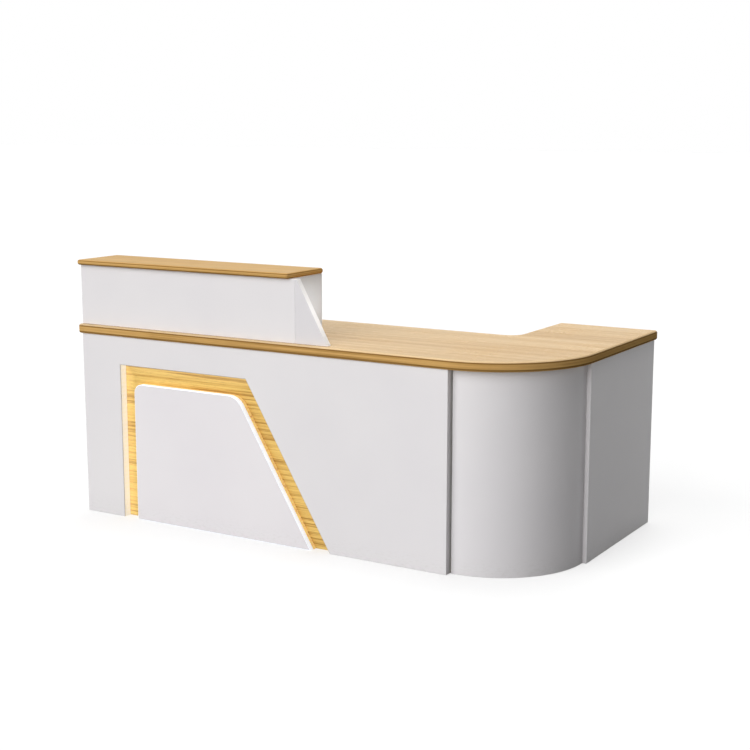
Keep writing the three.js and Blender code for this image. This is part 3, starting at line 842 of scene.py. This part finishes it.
# raised counter top
raisedTop = {"blunt": 0.012, "round": 0.009, "roundSteps": 6}
low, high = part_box("raised_top")
sweepPlate(
    "raised_counter_top",
    outline([
        (low.x, low.y, raisedTop["blunt"]),
        (high.x, low.y, raisedTop["blunt"]),
        (high.x, high.y, raisedTop["blunt"]),
        (low.x, high.y, raisedTop["blunt"]),
    ]),
    edgeProfile(high.z - low.z, raisedTop["round"], raisedTop["roundSteps"]),
    lambda across, up, level: (across, up, low.z + level),
    "desk", "raised_top", "straw_oak", edgeFinishes["raisedTop"],
)

# bent board of the rounded corner
bentBoard = {"skin": 0.009, "steps": 64, "round": 0.0008}
low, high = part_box("curved_corner_panel")
bendX, bendY, bendRadius = low.x, high.y, high.x - low.x


def bend(radius):
    steps = bentBoard["steps"]
    quarter = [math.pi / 2 * number / steps for number in range(steps + 1)]
    return [Vector((bendX + radius * math.sin(a), bendY - radius * math.cos(a))) for a in quarter]


sweepPlate(
    "bent_corner_board",
    bend(bendRadius) + bend(bendRadius - bentBoard["skin"])[::-1],
    edgeProfile(high.z - low.z, bentBoard["round"]),
    lambda across, up, level: (across, up, low.z + level),
    "desk", "curved_corner_panel", "white_lacquer",
)

# white panel on the wood, the rear half of its edge faced with the same wood; both halves of the edge
# glow with painted light
lightPanel = {"slope": 362 / 605, "leftCorner": 0.034, "rightCorner": 0.072, "round": 0.0015}
low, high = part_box("decor_white_panel")
sweepPlate(
    "light_panel_board",
    outline([
        (low.x, low.z, 0),
        (high.x, low.z, 0),
        (high.x - lightPanel["slope"] * (high.z - low.z), high.z, lightPanel["rightCorner"]),
        (low.x, high.z, lightPanel["leftCorner"]),
    ]),
    edgeProfile(high.y - low.y, lightPanel["round"]),
    lambda across, up, level: (across, high.y - level, up),
    "desk", "decor_white_panel", "white_lacquer",
    edgeFinishes["panelFront"], edgeFinishes["panelRear"],
)

# bent flat-bar pulls
pull = {"bar": 0.008, "outerBend": 0.01, "innerBend": 0.002, "arcStep": 0.2, "round": 0.0012}


def pullOutline(half, reach):
    grip = reach - pull["bar"]
    inner = half - pull["bar"]
    return outline([
        (-half, 0, 0),
        (-inner, 0, 0),
        (-inner, grip, pull["innerBend"]),
        (inner, grip, pull["innerBend"]),
        (inner, 0, 0),
        (half, 0, 0),
        (half, reach, pull["outerBend"]),
        (-half, reach, pull["outerBend"]),
    ], pull["arcStep"])


for drawer in ("upper", "middle", "lower"):
    low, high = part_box(f"drawer_{drawer}_handle")
    middle = (low.x + high.x) / 2
    sweepPlate(
        f"drawer_{drawer}_pull",
        pullOutline((high.x - low.x) / 2, high.y - low.y),
        edgeProfile(high.z - low.z, pull["round"]),
        lambda across, up, level: (middle + across, low.y + up, low.z + level),
        f"{drawer}_drawer", f"drawer_{drawer}_handle", "satin_steel",
    )
low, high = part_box("cupboard_handle")
middle = (low.z + high.z) / 2
sweepPlate(
    "cupboard_pull",
    pullOutline((high.z - low.z) / 2, high.x - low.x),
    edgeProfile(high.y - low.y, pull["round"]),
    lambda across, up, level: (high.x - up, low.y + level, middle + across),
    "door", "cupboard_handle", "satin_steel",
)
print("worktop, raised top, bent board, light panel and pulls made")


# pale floor and soft light; lamps come from a direction, or stand at a place
studio = {
    "floorReach": 60.0,
    "floorGlow": 0.56,
    "floorWhite": 0.45,
    "floorBounce": 0.2,
    "sky": 0.07,
    "mirrored": (0.8, 0.73, 0.61, 1.0),
    "key": {"from": (-0.3, -0.95, 0.45), "power": 2.96, "angle": 66, "gloss": False},
    "overhead": {"from": (0.0, 0.2, 1.0), "power": 1.9, "angle": 40, "gloss": True},
    "rear": {"from": (-0.25, 1.0, 0.1), "power": 1.35, "angle": 30, "gloss": False},
    "fill": {"place": (0.62, -0.37, 0.87), "wide": 0.26, "tall": 0.18, "spread": 24, "power": 0.11},
}


# white to the camera and to gloss, with the desk's shadow on it; dimmer to the light that it throws back
def makeFloor():
    data = bpy.data.meshes.new("floor")
    reach = studio["floorReach"]
    corners = [(-reach, -reach, 0), (reach, -reach, 0), (reach, reach, 0), (-reach, reach, 0)]
    data.from_pydata(corners, [], [(0, 1, 2, 3)])
    finish = Finish(bpy.data.materials.new("pale_floor"))
    seen = finish.add("LightPath", out=0) + finish.add("LightPath", out=3)
    shown = finish.add("BsdfDiffuse", None, {"Color": grey(studio["floorWhite"])})
    glow = finish.add("Emission", None, {"Color": white, "Strength": studio["floorGlow"]})
    both = finish.add("AddShader", None, {0: shown, 1: glow})
    unseen = finish.add("BsdfDiffuse", None, {"Color": grey(studio["floorBounce"])})
    shader = finish.add("MixShader", None, {0: seen, 1: unseen, 2: both})
    finish.add("OutputMaterial", None, {"Surface": shader})
    data.materials.append(finish.owner)
    floor = bpy.data.objects.new("floor", data)
    bpy.context.scene.collection.objects.link(floor)


def makeSun(name, settings):
    data = bpy.data.lights.new(name, "SUN")
    data.energy = settings["power"]
    data.angle = math.radians(settings["angle"])
    lamp = bpy.data.objects.new(name, data)
    lamp.rotation_mode = "QUATERNION"
    lamp.rotation_quaternion = Vector(settings["from"]).to_track_quat("Z", "Y")
    lamp.visible_glossy = settings["gloss"]
    bpy.context.scene.collection.objects.link(lamp)


# soft box beside the end of the raised counter
def makeFill(settings):
    data = bpy.data.lights.new("fill", "AREA")
    data.shape = "RECTANGLE"
    data.size = settings["wide"]
    data.size_y = settings["tall"]
    data.spread = math.radians(settings["spread"])
    data.energy = settings["power"]
    lamp = bpy.data.objects.new("fill", data)
    lamp.location = settings["place"]
    lamp.rotation_mode = "QUATERNION"
    lamp.rotation_quaternion = Vector((-1, 0, 0)).to_track_quat("-Z", "Y")
    lamp.visible_camera = False
    lamp.visible_glossy = False
    bpy.context.scene.collection.objects.link(lamp)


# white to the camera, warm to the gloss of the boards, dim to the rest
def makeSky():
    world = bpy.data.worlds.new("studio")
    bpy.context.scene.world = world
    sky = Finish(world)
    camera = sky.add("LightPath", out=0)
    gloss = sky.add("LightPath", out=3)
    dim = sky.add("Background", None, {"Color": white, "Strength": studio["sky"]})
    warm = sky.add("Background", None, {"Color": studio["mirrored"], "Strength": 1.0})
    bright = sky.add("Background", None, {"Color": white, "Strength": 1.0})
    around = sky.add("MixShader", None, {0: gloss, 1: dim, 2: warm})
    shown = sky.add("MixShader", None, {0: camera, 1: around, 2: bright})
    sky.add("OutputWorld", None, {"Surface": shown})


makeFloor()
for name in ("key", "overhead", "rear"):
    makeSun(name, studio[name])
makeFill(studio["fill"])
makeSky()

# camera where the photograph was taken
shot = {
    "place": (2.822, -4.611, 1.535),
    "yaw": -31.0,
    "pitch": -10.2,
    "lens": 68.26,
    "sensor": 36.0,
    "farthest": 200.0,
}
yaw, pitch = math.radians(shot["yaw"]), math.radians(shot["pitch"])
ahead = Vector((math.sin(yaw) * math.cos(pitch), math.cos(yaw) * math.cos(pitch), math.sin(pitch)))
cameraData = bpy.data.cameras.new("camera")
cameraData.lens = shot["lens"]
cameraData.sensor_width = shot["sensor"]
cameraData.clip_end = shot["farthest"]
camera = bpy.data.objects.new("camera", cameraData)
camera.location = shot["place"]
camera.rotation_mode = "QUATERNION"
camera.rotation_quaternion = ahead.to_track_quat("-Z", "Y")
bpy.context.scene.collection.objects.link(camera)
bpy.context.scene.camera = camera
bpy.context.scene.view_settings.view_transform = "Standard"
print("floor, light and camera set")
